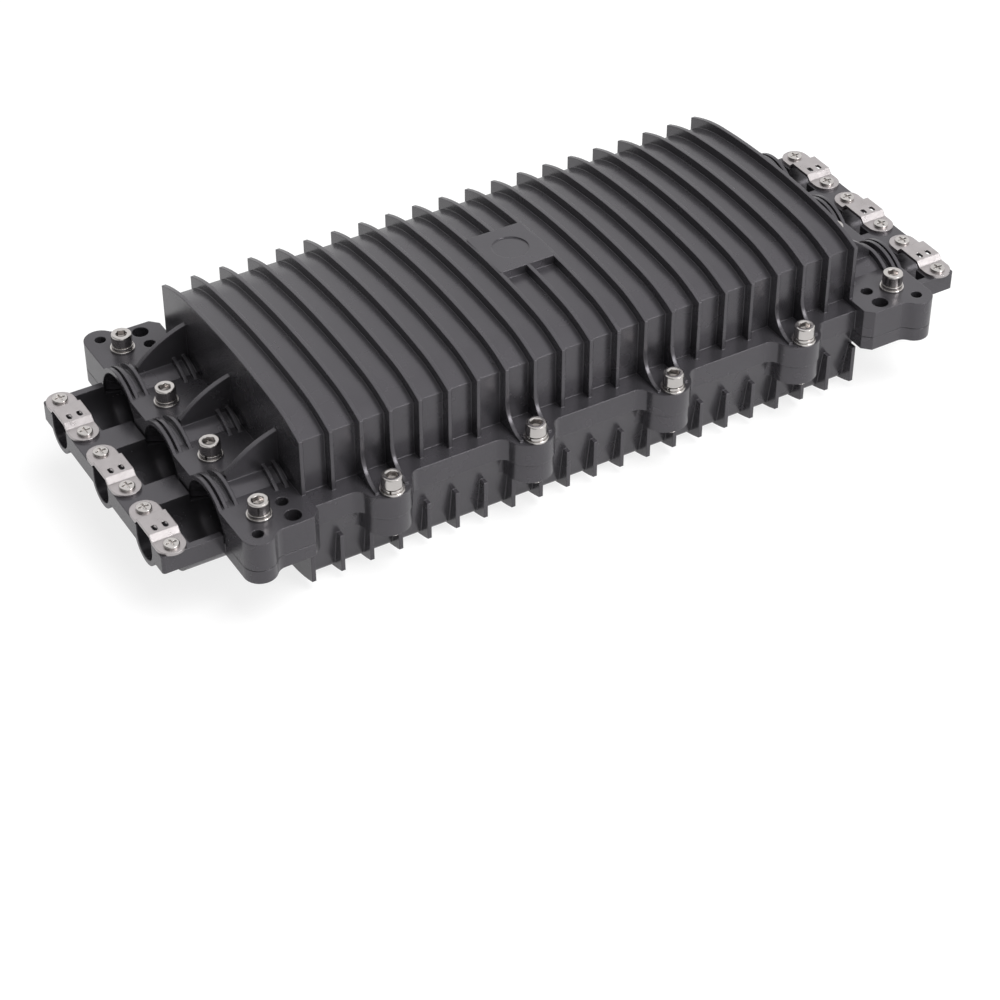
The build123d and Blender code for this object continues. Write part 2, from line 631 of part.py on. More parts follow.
def post_base(x, y):
    """Round plastic foot of a strength member post."""
    foot = rod(x, y, POST_BASE_R, PLATE_TOP_Z, PLATE_TOP_Z + POST_BASE_H)
    return foot - rod(x, y, POST_R, PLATE_TOP_Z - OVERCUT, PLATE_TOP_Z + POST_BASE_H + OVERCUT)


def post(x, y):
    """Steel post with a broad cap that presses a strength member down."""
    cap_z = PLATE_TOP_Z + POST_H
    return rod(x, y, POST_R, PLATE_LOW_Z, cap_z) + rod(x, y, POST_CAP_R, cap_z, cap_z + POST_CAP_H)


def post_nut(x, y):
    """Round clamping nut part of the way up a post."""
    low_z = PLATE_TOP_Z + POST_NUT_Z
    nut = rise(Pos(x, y) * hexagon(2 * POST_NUT_R), low_z, low_z + POST_NUT_H)
    return nut - rod(x, y, POST_R, low_z - OVERCUT, low_z + POST_NUT_H + OVERCUT)


def hinge_z(tray_z):
    """Height of a tray's hinge axis."""
    return tray_z + TRAY_H / 2


def tray_bracket():
    """Upright hinge bracket: a foot on the plate and two cheeks bored for the tray pins."""
    cheek_y = HINGE_HALF_W + HINGE_SIDE_PLAY
    top_z = hinge_z(TRAY_ZS[-1]) + BRACKET_TOP_RISE
    back_x = HINGE_X - CHEEK_DEPTH + HINGE_KNUCKLE_R
    front_x = HINGE_X + HINGE_KNUCKLE_R
    width = 2 * (cheek_y + CHEEK_THICK)
    foot = Pos((back_x + front_x) / 2, 0) * Rectangle(front_x - back_x, width)
    body = rise(foot, PLATE_TOP_Z, PLATE_TOP_Z + BRACKET_FOOT_H)
    back = Pos(back_x + CHEEK_THICK / 2, 0) * Rectangle(CHEEK_THICK, width)
    body += rise(back, PLATE_TOP_Z, top_z)
    for side in (-1, 1):
        cheek = Pos((back_x + front_x) / 2, side * (cheek_y + CHEEK_THICK / 2))
        body += rise(cheek * Rectangle(front_x - back_x, CHEEK_THICK), PLATE_TOP_Z, top_z)
    for tray_z in TRAY_ZS:
        bore = Rot(90, 0, 0) * Cylinder(HINGE_PIN_R + HINGE_RUN, 2 * width)
        body -= Pos(HINGE_X, 0, hinge_z(tray_z)) * bore
    return body


def tray_plan(inset):
    """Tray outline with bowed long edges, moved inwards by an inset."""
    end_x = TRAY_HALF_L - inset
    end_y = TRAY_END_HALF_W - inset
    mid_y = TRAY_MID_HALF_W - inset
    front = ThreePointArc((-end_x, -end_y), (0, -mid_y), (end_x, -end_y))
    back = ThreePointArc((end_x, end_y), (0, mid_y), (-end_x, end_y))
    right = Line((end_x, -end_y), (end_x, end_y))
    left = Line((-end_x, end_y), (-end_x, -end_y))
    outline = make_face(front + right + back + left)
    return fillet(outline.vertices(), TRAY_CORNER_R - inset)


def tray(tray_z):
    """Shallow splice tray with a notched rim, hinge arms and pins."""
    axis_z = hinge_z(tray_z)
    body = rise(tray_plan(0), tray_z, tray_z + TRAY_H)
    body -= rise(tray_plan(TRAY_SKIN), tray_z + TRAY_SKIN, tray_z + TRAY_H + OVERCUT)
    length, depth = TRAY_NOTCH
    notch_z = tray_z + TRAY_H - depth / 2
    for index in range(TRAY_NOTCH_COUNT):
        x = TRAY_NOTCH_PITCH * (index - (TRAY_NOTCH_COUNT - 1) / 2)
        body -= Pos(x, 0, notch_z) * Box(length, 3 * TRAY_MID_HALF_W, depth)
    arm_length = HINGE_REACH + TRAY_SKIN / 2
    arm_x = HINGE_X + arm_length / 2
    body += Pos(arm_x, 0, axis_z) * Box(arm_length, 2 * HINGE_HALF_W, HINGE_TONGUE)
    knuckle = Rot(90, 0, 0) * Cylinder(HINGE_KNUCKLE_R, 2 * HINGE_HALF_W)
    pin = Rot(90, 0, 0) * Cylinder(HINGE_PIN_R, 2 * (HINGE_HALF_W + HINGE_SIDE_PLAY + CHEEK_THICK))
    return body + Pos(HINGE_X, 0, axis_z) * knuckle + Pos(HINGE_X, 0, axis_z) * pin


def splice_holder(tray_z):
    """Comb that grips the splice sleeves, seated on the tray floor."""
    length, width = HOLDER_SIZE
    low_z = tray_z + TRAY_SKIN
    comb = rise(Rectangle(length, width), low_z, low_z + HOLDER_FLOOR)
    gap = (width - HOLDER_RIB_THICK) / (HOLDER_RIBS - 1)
    for index in range(HOLDER_RIBS):
        y = gap * (index - (HOLDER_RIBS - 1) / 2)
        comb += rise(Pos(0, y) * Rectangle(length, HOLDER_RIB_THICK), low_z, low_z + HOLDER_H)
    return comb


def tray_lid():
    """Clear lid that lies on the rim of the top tray."""
    low_z = TRAY_ZS[-1] + TRAY_H
    return rise(tray_plan(LID_INSET - TRAY_SKIN), low_z, low_z + LID_THICK)


def group(solids):
    """Several separate solids kept as one node."""
    return Compound(children=list(solids))


def build_nodes():
    """Every node's solids by name."""
    nodes = {
        "base_shell": base_shell(),
        "cover_shell": cover_shell(),
        "gasket_front": gasket(-1),
        "gasket_rear": gasket(1),
        "cover_bolts": group(bolt(x, y, seat_z) for x, y, seat_z, _ in SEATS),
        "flat_washers": group(flat_washer(x, y, seat_z) for x, y, seat_z, _ in SEATS),
        "spring_washers": group(spring_washer(x, y, seat_z) for x, y, seat_z, _ in SEATS),
        "captive_nuts": group(captive_nut(x, y, low_z) for x, y, _, low_z in SEATS),
        "saddle_screws": group(saddle_screws()),
        "tray_plate": tray_plate(),
        "plate_screws": group(plate_screws()),
        "post_bases": group(post_base(x, y) for x, y in POSTS),
        "post_nuts": group(post_nut(x, y) for x, y in POSTS),
        "strength_posts": group(post(x, y) for x, y in POSTS),
        "tray_bracket": tray_bracket(),
        "tray_lid": tray_lid(),
    }
    for number, (x, y) in enumerate(SADDLES, start=1):
        nodes[f"cable_saddle_{number}"] = saddle(x, y)
    for number, tray_z in enumerate(TRAY_ZS, start=1):
        nodes[f"splice_tray_{number}"] = tray(tray_z)
        nodes[f"splice_holder_{number}"] = splice_holder(tray_z)
    return nodes


os.makedirs("parts", exist_ok=True)
for node_name, shape in build_nodes().items():
    export_step(shape, f"parts/{node_name}.step")
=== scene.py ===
import logging
import math
from collections.abc import Iterable
from dataclasses import dataclass, field
from enum import Enum

import bmesh
import bpy
from mathutils import Matrix, Vector


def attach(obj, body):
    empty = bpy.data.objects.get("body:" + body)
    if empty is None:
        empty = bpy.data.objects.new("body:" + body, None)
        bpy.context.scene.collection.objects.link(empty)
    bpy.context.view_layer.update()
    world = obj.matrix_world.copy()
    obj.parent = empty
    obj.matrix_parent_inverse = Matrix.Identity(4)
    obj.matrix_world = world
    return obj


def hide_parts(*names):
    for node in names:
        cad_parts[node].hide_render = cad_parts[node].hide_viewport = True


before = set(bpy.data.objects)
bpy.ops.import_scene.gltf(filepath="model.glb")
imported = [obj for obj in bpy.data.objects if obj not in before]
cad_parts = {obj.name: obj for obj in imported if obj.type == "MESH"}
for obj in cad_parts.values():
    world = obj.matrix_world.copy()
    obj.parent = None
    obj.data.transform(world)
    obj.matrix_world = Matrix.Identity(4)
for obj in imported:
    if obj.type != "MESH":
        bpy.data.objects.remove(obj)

Colour = tuple[float, float, float]
Point = tuple[float, float, float]
Socket = str | int
Link = tuple[bpy.types.Node, Socket, bpy.types.Node, Socket]

MM = 0.001
WHITE = (1.0, 1.0, 1.0, 1.0)
# Angle in degrees past which two faces meet at a sharp edge
CREASE_ANGLE = 28.0
# Share of a turn that one side of a hexagon takes up
HEX_TURN = math.tau / 6
# Corners closer than this are one corner, and edges shorter than this are dropped
WELD_REACH = 0.002 * MM
SLIVER_LENGTH = 0.001 * MM
# Depth of the light that wanders under a surface, the same for red, green and blue
SCATTER_DEPTH = 3 * MM
SCATTER_SPREAD = (1.0, 1.0, 1.0)
# Point that the lamps face, in metres
LAMP_AIM: Point = (0.0, 0.0, 0.04)

log = logging.getLogger("splice_closure")


class Ring(Enum):
    """Shape of one ring of a turned or hexagonal piece."""

    ROUND = "round"
    HEX = "hex"
    KNURL = "knurl"


class Body(Enum):
    """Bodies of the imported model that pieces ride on."""

    BASE = "base"
    COVER = "cover"


@dataclass(frozen=True)
class Step:
    """One ring of a turned profile.

    Args:
        radius: Ring radius in mm, or half the width across flats for a hexagon.
        height: Ring height in mm above the piece's seat.
        ring: Shape of the ring.
    """

    radius: float
    height: float
    ring: Ring = Ring.ROUND


class NodeKit:
    """Short helpers for building node trees."""

    @staticmethod
    def add(tree: bpy.types.NodeTree, kind: str, values: dict[Socket, object] | None = None,
            **settings: object) -> bpy.types.Node:
        """Add a node, set its properties and then the values of its inputs.

        Args:
            tree: Tree that receives the node.
            kind: Node type name.
            values: Input values by the socket's name or number.
            **settings: Node properties by name.

        Returns:
            The new node.
        """
        node = tree.nodes.new(kind)
        for name, value in settings.items():
            setattr(node, name, value)
        for socket, value in (values or {}).items():
            node.inputs[socket].default_value = value
        return node

    @staticmethod
    def join(tree: bpy.types.NodeTree, links: Iterable[Link]) -> None:
        """Link outputs to inputs.

        Args:
            tree: Tree that holds the nodes.
            links: Source node, its output, target node and its input.
        """
        for source, outlet, target, inlet in links:
            tree.links.new(source.outputs[outlet], target.inputs[inlet])

    @staticmethod
    def sockets(tree: bpy.types.NodeTree, way: str, names: dict[str, str]) -> None:
        """Declare a group's sockets.

        Args:
            tree: Group that receives the sockets.
            way: INPUT or OUTPUT.
            names: Socket type by socket name.
        """
        for name, kind in names.items():
            tree.interface.new_socket(name=name, in_out=way, socket_type=kind)


class SurfaceGroups:
    """Shader node groups that every finish uses."""

    GRAIN_DETAIL = 3.0
    MOTTLE_DETAIL = 5.0
    MOTTLE_SPAN = (0.3, 0.7)
    EDGE_SAMPLES = 6

    @staticmethod
    def fine_grain() -> bpy.types.NodeTree:
        """Build the fine moulded or blasted grain.

        Returns:
            A group that puts out a height, a mottle mask and a roughness value.
        """
        found = bpy.data.node_groups.get("fine_grain")
        if found:
            return found
        tree = bpy.data.node_groups.new("fine_grain", "ShaderNodeTree")
        inputs = ("Grain Scale", "Mottle Scale", "Roughness Low", "Roughness High")
        outputs = ("Height", "Mottle", "Roughness")
        NodeKit.sockets(tree, "INPUT", dict.fromkeys(inputs, "NodeSocketFloat"))
        NodeKit.sockets(tree, "OUTPUT", dict.fromkeys(outputs, "NodeSocketFloat"))
        inlet = NodeKit.add(tree, "NodeGroupInput")
        outlet = NodeKit.add(tree, "NodeGroupOutput")
        place = NodeKit.add(tree, "ShaderNodeTexCoord")
        grain = NodeKit.add(tree, "ShaderNodeTexNoise", {"Detail": SurfaceGroups.GRAIN_DETAIL})
        mottle = NodeKit.add(tree, "ShaderNodeTexNoise", {"Detail": SurfaceGroups.MOTTLE_DETAIL})
        span = NodeKit.add(tree, "ShaderNodeMapRange", {
            "From Min": SurfaceGroups.MOTTLE_SPAN[0],
            "From Max": SurfaceGroups.MOTTLE_SPAN[1],
        })
        for noise, scale in ((grain, "Grain Scale"), (mottle, "Mottle Scale")):
            NodeKit.join(tree, ((place, "Object", noise, "Vector"), (inlet, scale, noise, "Scale")))
        NodeKit.join(tree, (
            (mottle, "Fac", span, "Value"),
            (inlet, "Roughness Low", span, "To Min"),
            (inlet, "Roughness High", span, "To Max"),
            (grain, "Fac", outlet, "Height"),
            (mottle, "Fac", outlet, "Mottle"),
            (span, "Result", outlet, "Roughness"),
        ))
        return tree

    @staticmethod
    def soft_edges() -> bpy.types.NodeTree:
        """Build the rounding of edges, and the mask for their lighter tone, which is partly wear and
        partly a painted highlight.

        Returns:
            A group that puts out a rounded normal and a mask that is 1 on edges.
        """
        found = bpy.data.node_groups.get("soft_edges")
        if found:
            return found
        tree = bpy.data.node_groups.new("soft_edges", "ShaderNodeTree")
        NodeKit.sockets(tree, "INPUT", {"Radius": "NodeSocketFloat", "Sharpness": "NodeSocketFloat"})
        NodeKit.sockets(tree, "OUTPUT", {"Normal": "NodeSocketVector", "Edge": "NodeSocketFloat"})
        inlet = NodeKit.add(tree, "NodeGroupInput")
        outlet = NodeKit.add(tree, "NodeGroupOutput")
        bevel = NodeKit.add(tree, "ShaderNodeBevel", samples=SurfaceGroups.EDGE_SAMPLES)
        shape = NodeKit.add(tree, "ShaderNodeNewGeometry")
        dot = NodeKit.add(tree, "ShaderNodeVectorMath", operation="DOT_PRODUCT")
        away = NodeKit.add(tree, "ShaderNodeMath", {0: 1.0}, operation="SUBTRACT")
        gain = NodeKit.add(tree, "ShaderNodeMath", operation="MULTIPLY", use_clamp=True)
        NodeKit.join(tree, (
            (inlet, "Radius", bevel, "Radius"),
            (bevel, "Normal", dot, 0),
            (shape, "Normal", dot, 1),
            (dot, "Value", away, 1),
            (away, "Value", gain, 0),
            (inlet, "Sharpness", gain, 1),
            (bevel, "Normal", outlet, "Normal"),
            (gain, "Value", outlet, "Edge"),
        ))
        return tree


@dataclass(frozen=True)
class Finish:
    """A procedural finish with mottled colour, fine grain and softened edges.

    Args:
        name: Material name.
        dark: Darker tone of the mottle.
        light: Lighter tone of the mottle.
        edge: Tone of edges, partly wear and partly a painted highlight along them.
        roughness: Lowest and highest roughness.
        metallic: Metallic value.
        grain_scale: Grain repeats in a metre.
        grain_height: Height of the grain in mm.
        mottle_scale: Mottle repeats in a metre.
        edge_radius: Radius of the softened edges in mm.
        edge_gain: How strongly edges take the edge tone.
        ior: Index of refraction.
        transmission: Transmission weight.
        scatter: Subsurface weight.
        gloss: Specular level, 0.5 for a plain surface.
        sheen_tint: Tint of the reflections.
    """

    name: str
    dark: Colour
    light: Colour
    edge: Colour
    roughness: tuple[float, float] = (0.3, 0.4)
    metallic: float = 0.0
    grain_scale: float = 2600.0
    grain_height: float = 0.02
    mottle_scale: float = 55.0
    edge_radius: float = 0.5
    edge_gain: float = 1.0
    ior: float = 1.5
    transmission: float = 0.0
    scatter: float = 0.0
    gloss: float = 0.5
    sheen_tint: Colour = (1.0, 1.0, 1.0)

    def material(self) -> bpy.types.Material:
        """Build the material, or return the one that was built before.

        Returns:
            The finished material.
        """
        found = bpy.data.materials.get(self.name)
        if found:
            return found
        made = bpy.data.materials.new(self.name)
        made.use_nodes = True
        tree = made.node_tree
        tree.nodes.clear()
        outlet = NodeKit.add(tree, "ShaderNodeOutputMaterial")
        shader = NodeKit.add(tree, "ShaderNodeBsdfPrincipled", {
            "Metallic": self.metallic,
            "IOR": self.ior,
            "Specular IOR Level": self.gloss,
            "Specular Tint": (*self.sheen_tint, 1.0),
            "Transmission Weight": self.transmission,
            "Subsurface Weight": self.scatter,
            "Subsurface Radius": SCATTER_SPREAD,
            "Subsurface Scale": SCATTER_DEPTH,
        })
        grain = NodeKit.add(tree, "ShaderNodeGroup", {
            "Grain Scale": self.grain_scale,
            "Mottle Scale": self.mottle_scale,
            "Roughness Low": self.roughness[0],
            "Roughness High": self.roughness[1],
        }, node_tree=SurfaceGroups.fine_grain())
        edges = NodeKit.add(tree, "ShaderNodeGroup", {
            "Radius": self.edge_radius * MM,
            "Sharpness": self.edge_gain,
        }, node_tree=SurfaceGroups.soft_edges())
        tone = NodeKit.add(tree, "ShaderNodeMix", {
            "A": (*self.dark, 1.0),
            "B": (*self.light, 1.0),
        }, data_type="RGBA")
        # Edges take a lighter tone, partly wear and partly a painted highlight
        edge_wear_and_highlight = NodeKit.add(tree, "ShaderNodeMix", {"B": (*self.edge, 1.0)}, data_type="RGBA")
        bump = NodeKit.add(tree, "ShaderNodeBump", {"Distance": self.grain_height * MM})
        NodeKit.join(tree, (
            (grain, "Mottle", tone, "Factor"),
            (tone, "Result", edge_wear_and_highlight, "A"),
            (edges, "Edge", edge_wear_and_highlight, "Factor"),
            (edge_wear_and_highlight, "Result", shader, "Base Color"),
            (grain, "Roughness", shader, "Roughness"),
            (grain, "Height", bump, "Height"),
            (edges, "Normal", bump, "Normal"),
            (bump, "Normal", shader, "Normal"),
            (shader, "BSDF", outlet, "Surface"),
        ))
        return made


# The third colour of each finish is its lighter edge tone, partly wear and partly a painted highlight
SHELL_PLASTIC = Finish(
    "satin_black_shell", (0.022, 0.021, 0.0235), (0.033, 0.0315, 0.035), (0.048, 0.046, 0.050),
    roughness=(0.22, 0.29), edge_radius=0.75, edge_gain=1.5, gloss=0.78, sheen_tint=(0.97, 0.93, 1.0))
CORE_PLASTIC = Finish(
    "dark_moulded_plastic", (0.015, 0.015, 0.016), (0.028, 0.028, 0.03), (0.06, 0.06, 0.062),
    roughness=(0.35, 0.5))
SEAL_RUBBER = Finish(
    "seal_rubber", (0.010, 0.010, 0.010), (0.020, 0.020, 0.020), (0.03, 0.03, 0.03),
    roughness=(0.6, 0.8), grain_height=0.05)
BOLT_STEEL = Finish(
    "bright_bolt_steel", (0.44, 0.42, 0.41), (0.70, 0.67, 0.65), (0.85, 0.84, 0.82),
    roughness=(0.14, 0.26), metallic=1.0, grain_height=0.01, edge_radius=0.3)
SADDLE_STEEL = Finish(
    "pressed_stainless", (0.36, 0.335, 0.335), (0.60, 0.565, 0.57), (0.74, 0.72, 0.72),
    roughness=(0.24, 0.44), metallic=1.0, mottle_scale=210.0, grain_height=0.03)
PLATE_METAL = Finish(
    "pale_sheet_metal", (0.66, 0.67, 0.69), (0.78, 0.79, 0.80), (0.86, 0.86, 0.87),
    roughness=(0.35, 0.48), metallic=0.85)
FROSTED_TRAY = Finish(
    "frosted_tray_plastic", (0.58, 0.59, 0.59), (0.67, 0.68, 0.67), (0.80, 0.80, 0.79),
    roughness=(0.4, 0.55), scatter=0.2)
CLEAR_LID = Finish(
    "clear_lid_plastic", (0.90, 0.92, 0.93), (0.94, 0.95, 0.96), (0.96, 0.97, 0.97),
    roughness=(0.16, 0.26), transmission=0.85)


@dataclass(frozen=True)
class FormNormals:
    """Normals of the smooth form that a mesh of triangles stands for.

    Args:
        crease: Angle in degrees past which two faces meet at a sharp edge.
        flat: Angle in degrees within which neighbours count as one flat.
        bias: Power of a flat's area in each mean, so that large flats stay flat.
    """

    crease: float = CREASE_ANGLE
    flat: float = 0.2
    bias: float = 2.0

    def flats(self, shape: bmesh.types.BMesh) -> tuple[list[int], list[Vector]]:
        """Join neighbouring faces that lie in one plane.

        Args:
            shape: Mesh with up-to-date face indices.

        Returns:
            The flat that each face belongs to, and each flat's weighted normal.
        """
        limit = math.cos(math.radians(self.flat))
        member = [-1] * len(shape.faces)
        pulls: list[Vector] = []
        for seed in shape.faces:
            if member[seed.index] >= 0:
                continue
            member[seed.index] = len(pulls)
            waiting = [seed]
            area = 0.0
            while waiting:
                face = waiting.pop()
                area += face.calc_area()
                for edge in face.edges:
                    for near in edge.link_faces:
                        if member[near.index] < 0 and near.normal.dot(seed.normal) > limit:
                            member[near.index] = len(pulls)
                            waiting.append(near)
            pulls.append(seed.normal * (area / MM**2) ** self.bias)
        return member, pulls

    def fans(self, vert: bmesh.types.BMVert) -> list[list[bmesh.types.BMLoop]]:
        """Split the corners round a vertex at its sharp edges.

        Args:
            vert: Vertex whose corners are wanted.

        Returns:
            Corners that share one normal, fan by fan.
        """
        limit = math.radians(self.crease)
        open_corners = {loop.face: loop for loop in vert.link_loops}
        found = []
        while open_corners:
            face, loop = open_corners.popitem()
            fan = [loop]
            waiting = [loop]
            while waiting:
                corner = waiting.pop()
                for edge in (corner.edge, corner.link_loop_prev.edge):
                    if len(edge.link_faces) != 2 or edge.calc_face_angle(math.pi) > limit:
                        continue
                    for near in edge.link_faces:
                        if near in open_corners:
                            fan.append(open_corners.pop(near))
                            waiting.append(fan[-1])
            found.append(fan)
        return found

    def corners(self, shape: bmesh.types.BMesh) -> list[Vector]:
        """Work out a normal for every face corner.

        Args:
            shape: Mesh of triangles.

        Returns:
            Normals in the order of the mesh's corners.
        """
        shape.faces.index_update()
        member, pulls = self.flats(shape)
        chosen: dict[bmesh.types.BMLoop, Vector] = {}
        for vert in shape.verts:
            for fan in self.fans(vert):
                total = Vector()
                for flat in {member[loop.face.index] for loop in fan}:
                    total += pulls[flat]
                for loop in fan:
                    chosen[loop] = total.normalized() if total.length > 0 else loop.face.normal
        return [chosen[loop] for face in shape.faces for loop in face.loops]


@dataclass
class Twin:
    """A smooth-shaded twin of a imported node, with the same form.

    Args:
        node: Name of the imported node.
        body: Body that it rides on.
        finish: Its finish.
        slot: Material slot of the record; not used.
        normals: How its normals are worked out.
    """

    node: str
    body: str
    finish: Finish
    slot: str
    normals: FormNormals = FormNormals()

    def build(self) -> bpy.types.Object:
        """Copy the node's mesh, join its loose triangles and shade it as the form behind them.

        Returns:
            The twin, riding on its body in place of the node.
        """
        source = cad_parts[self.node]
        shape = bmesh.new()
        shape.from_mesh(source.data)
        bmesh.ops.remove_doubles(shape, verts=shape.verts, dist=WELD_REACH)
        bmesh.ops.dissolve_degenerate(shape, edges=shape.edges, dist=SLIVER_LENGTH)
        shape.normal_update()
        normals = self.normals.corners(shape)
        mesh = bpy.data.meshes.new(f"{self.node}_skin")
        shape.to_mesh(mesh)
        shape.free()
        mesh.shade_smooth()
        mesh.set_sharp_from_angle(angle=math.radians(self.normals.crease))
        mesh.normals_split_custom_set(normals)
        mesh.materials.clear()
        mesh.materials.append(self.finish.material())
        twin = bpy.data.objects.new(f"{self.node}_skin", mesh)
        bpy.context.scene.collection.objects.link(twin)
        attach(twin, self.body)
        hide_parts(self.node)
        log.info("%s: %d faces", twin.name, len(twin.data.polygons))
        return twin


class Bake:
    """Turns live modifiers into plain meshes."""

    @staticmethod
    def settle(piece: bpy.types.Object) -> None:
        """Replace a piece's mesh by its evaluated form and drop its modifiers.

        Args:
            piece: Object whose modifiers are finished.
        """
        graph = bpy.context.evaluated_depsgraph_get()
        done = bpy.data.meshes.new_from_object(piece.evaluated_get(graph), depsgraph=graph)
        piece.modifiers.clear()
        piece.data = done


@dataclass
class Turned:
    """A turned, knurled or hexagonal prototype made of rings.

    Args:
        name: Name of the prototype.
        steps: Rings from the first to the last, closed into a loop when hollow.
        hollow: True when the last ring joins the first, as in a washer.
        segments: Points round each ring.
        knurl: Depth of a knurled ring's teeth in mm.
        split: Angle in degrees left open, as in a lock washer.
        lead: Rise in mm across the split.
    """

    name: str
    steps: tuple[Step, ...]
    hollow: bool = False
    segments: int = 36
    knurl: float = 0.16
    split: float = 0.0
    lead: float = 0.0

    def radius(self, step: Step, index: int) -> float:
        """Distance from the axis of one point of a ring.

        Args:
            step: Ring that the point is on.
            index: Number of the point round the ring.

        Returns:
            The distance in mm.
        """
        if step.ring is Ring.HEX:
            turn = math.tau * index / self.segments
            return step.radius / math.cos(turn % HEX_TURN - HEX_TURN / 2)
        if step.ring is Ring.KNURL:
            return step.radius - (self.knurl if index % 2 else 0.0)
        return step.radius

    def build(self) -> bpy.types.Object:
        """Skin the rings into a closed mesh.

        Returns:
            The prototype, outside the scene's collection.
        """
        shape = bmesh.new()
        sweep = math.tau - math.radians(self.split)
        closed = self.split == 0.0
        count = self.segments if closed else self.segments + 1
        rings = []
        for step in self.steps:
            ring = []
            for index in range(count):
                turn = sweep * index / self.segments + math.radians(self.split) / 2
                away = self.radius(step, index) * MM
                up = (step.height + self.lead * index / self.segments) * MM
                ring.append(shape.verts.new((away * math.sin(turn), -away * math.cos(turn), up)))
            rings.append(ring)
        pairs = list(zip(rings, rings[1:]))
        if self.hollow:
            pairs.append((rings[-1], rings[0]))
        for low, high in pairs:
            for index in range(self.segments):
                ahead = (index + 1) % count
                shape.faces.new((low[index], low[ahead], high[ahead], high[index]))
        if not self.hollow:
            shape.faces.new(list(reversed(rings[0])))
            shape.faces.new(rings[-1])
        elif not closed:
            shape.faces.new([ring[0] for ring in rings])
            shape.faces.new([ring[-1] for ring in reversed(rings)])
        bmesh.ops.recalc_face_normals(shape, faces=shape.faces)
        mesh = bpy.data.meshes.new(self.name)
        shape.to_mesh(mesh)
        shape.free()
        mesh.shade_smooth()
        mesh.set_sharp_from_angle(angle=math.radians(CREASE_ANGLE))
        return bpy.data.objects.new(self.name, mesh)


class SeatTree:
    """Geometry Nodes tree that sets a prototype on every seat with its own turn."""

    # Sockets of the random value node that hold the top of the range and the drawn number
    DRAW_TOP = 3
    DRAWN = 1

    @staticmethod
    def build() -> bpy.types.NodeTree:
        """Build the tree once.

        Returns:
            The tree, with inputs for the prototype, the turn, the seed and the finish.
        """
        found = bpy.data.node_groups.get("set_on_seats")
        if found:
            return found
        tree = bpy.data.node_groups.new("set_on_seats", "GeometryNodeTree")
        NodeKit.sockets(tree, "INPUT", {"Seats": "NodeSocketGeometry", "Prototype": "NodeSocketObject",
                                        "Largest Turn": "NodeSocketFloat", "Seed": "NodeSocketInt",
                                        "Finish": "NodeSocketMaterial"})
        NodeKit.sockets(tree, "OUTPUT", {"Pieces": "NodeSocketGeometry"})
        inlet = NodeKit.add(tree, "NodeGroupInput")
        outlet = NodeKit.add(tree, "NodeGroupOutput")
        source = NodeKit.add(tree, "GeometryNodeObjectInfo")
        turn = NodeKit.add(tree, "FunctionNodeRandomValue", data_type="FLOAT")
        axis = NodeKit.add(tree, "ShaderNodeCombineXYZ")
        place = NodeKit.add(tree, "GeometryNodeInstanceOnPoints")
        real = NodeKit.add(tree, "GeometryNodeRealizeInstances")
        paint = NodeKit.add(tree, "GeometryNodeSetMaterial")
        NodeKit.join(tree, (
            (inlet, "Prototype", source, "Object"),
            (inlet, "Largest Turn", turn, SeatTree.DRAW_TOP),
            (inlet, "Seed", turn, "Seed"),
            (turn, SeatTree.DRAWN, axis, "Z"),
            (inlet, "Seats", place, "Points"),
            (source, "Geometry", place, "Instance"),
            (axis, "Vector", place, "Rotation"),
            (place, "Instances", real, "Geometry"),
            (real, "Geometry", paint, "Geometry"),
            (inlet, "Finish", paint, "Material"),
            (paint, "Geometry", outlet, "Pieces"),
        ))
        return tree


@dataclass
class SeatedSet:
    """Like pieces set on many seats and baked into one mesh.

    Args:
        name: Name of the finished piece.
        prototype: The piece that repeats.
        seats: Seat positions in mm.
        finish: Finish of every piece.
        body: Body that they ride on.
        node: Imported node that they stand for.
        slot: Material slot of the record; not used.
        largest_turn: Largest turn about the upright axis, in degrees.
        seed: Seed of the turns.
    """

    name: str
    prototype: Turned
    seats: list[Point]
    finish: Finish
    body: Body
    node: str
    slot: str
    largest_turn: float = 0.0
    seed: int = 3

    def build(self) -> bpy.types.Object:
        """Run the tree on the seats and bake the result.

        Returns:
            The finished piece.
        """
        mesh = bpy.data.meshes.new(self.name)
        mesh.from_pydata([Vector(seat) * MM for seat in self.seats], [], [])
        piece = bpy.data.objects.new(self.name, mesh)
        bpy.context.scene.collection.objects.link(piece)
        source = self.prototype.build()
        tree = SeatTree.build()
        modifier = piece.modifiers.new("set_on_seats", "NODES")
        modifier.node_group = tree
        values = {"Prototype": source, "Largest Turn": math.radians(self.largest_turn),
                  "Seed": self.seed, "Finish": self.finish.material()}
        for item in tree.interface.items_tree:
            if item.in_out == "INPUT" and item.name in values:
                modifier[item.identifier] = values[item.name]
        Bake.settle(piece)
        bpy.data.objects.remove(source)
        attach(piece, self.body.value)
        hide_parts(self.node)
        log.info("%s: %d faces on %d seats", self.name, len(piece.data.polygons), len(self.seats))
        return piece


# Bolt tip above its lowest point
BOLT_TIP = (Step(2.2, 0.0), Step(2.9, 0.6))
# Bolt head from its seat, up the knurled side, over the rim and down the key socket
BOLT_HEAD = (
    Step(4.7, 0.0), Step(4.95, 0.3), Step(4.98, 0.7, Ring.KNURL), Step(4.98, 4.9, Ring.KNURL),
    Step(4.95, 5.1), Step(4.75, 5.7), Step(4.3, 5.98), Step(3.3, 6.0), Step(2.75, 5.75),
    Step(2.5, 5.6, Ring.HEX), Step(2.5, 3.0, Ring.HEX), Step(1.0, 2.6),
)


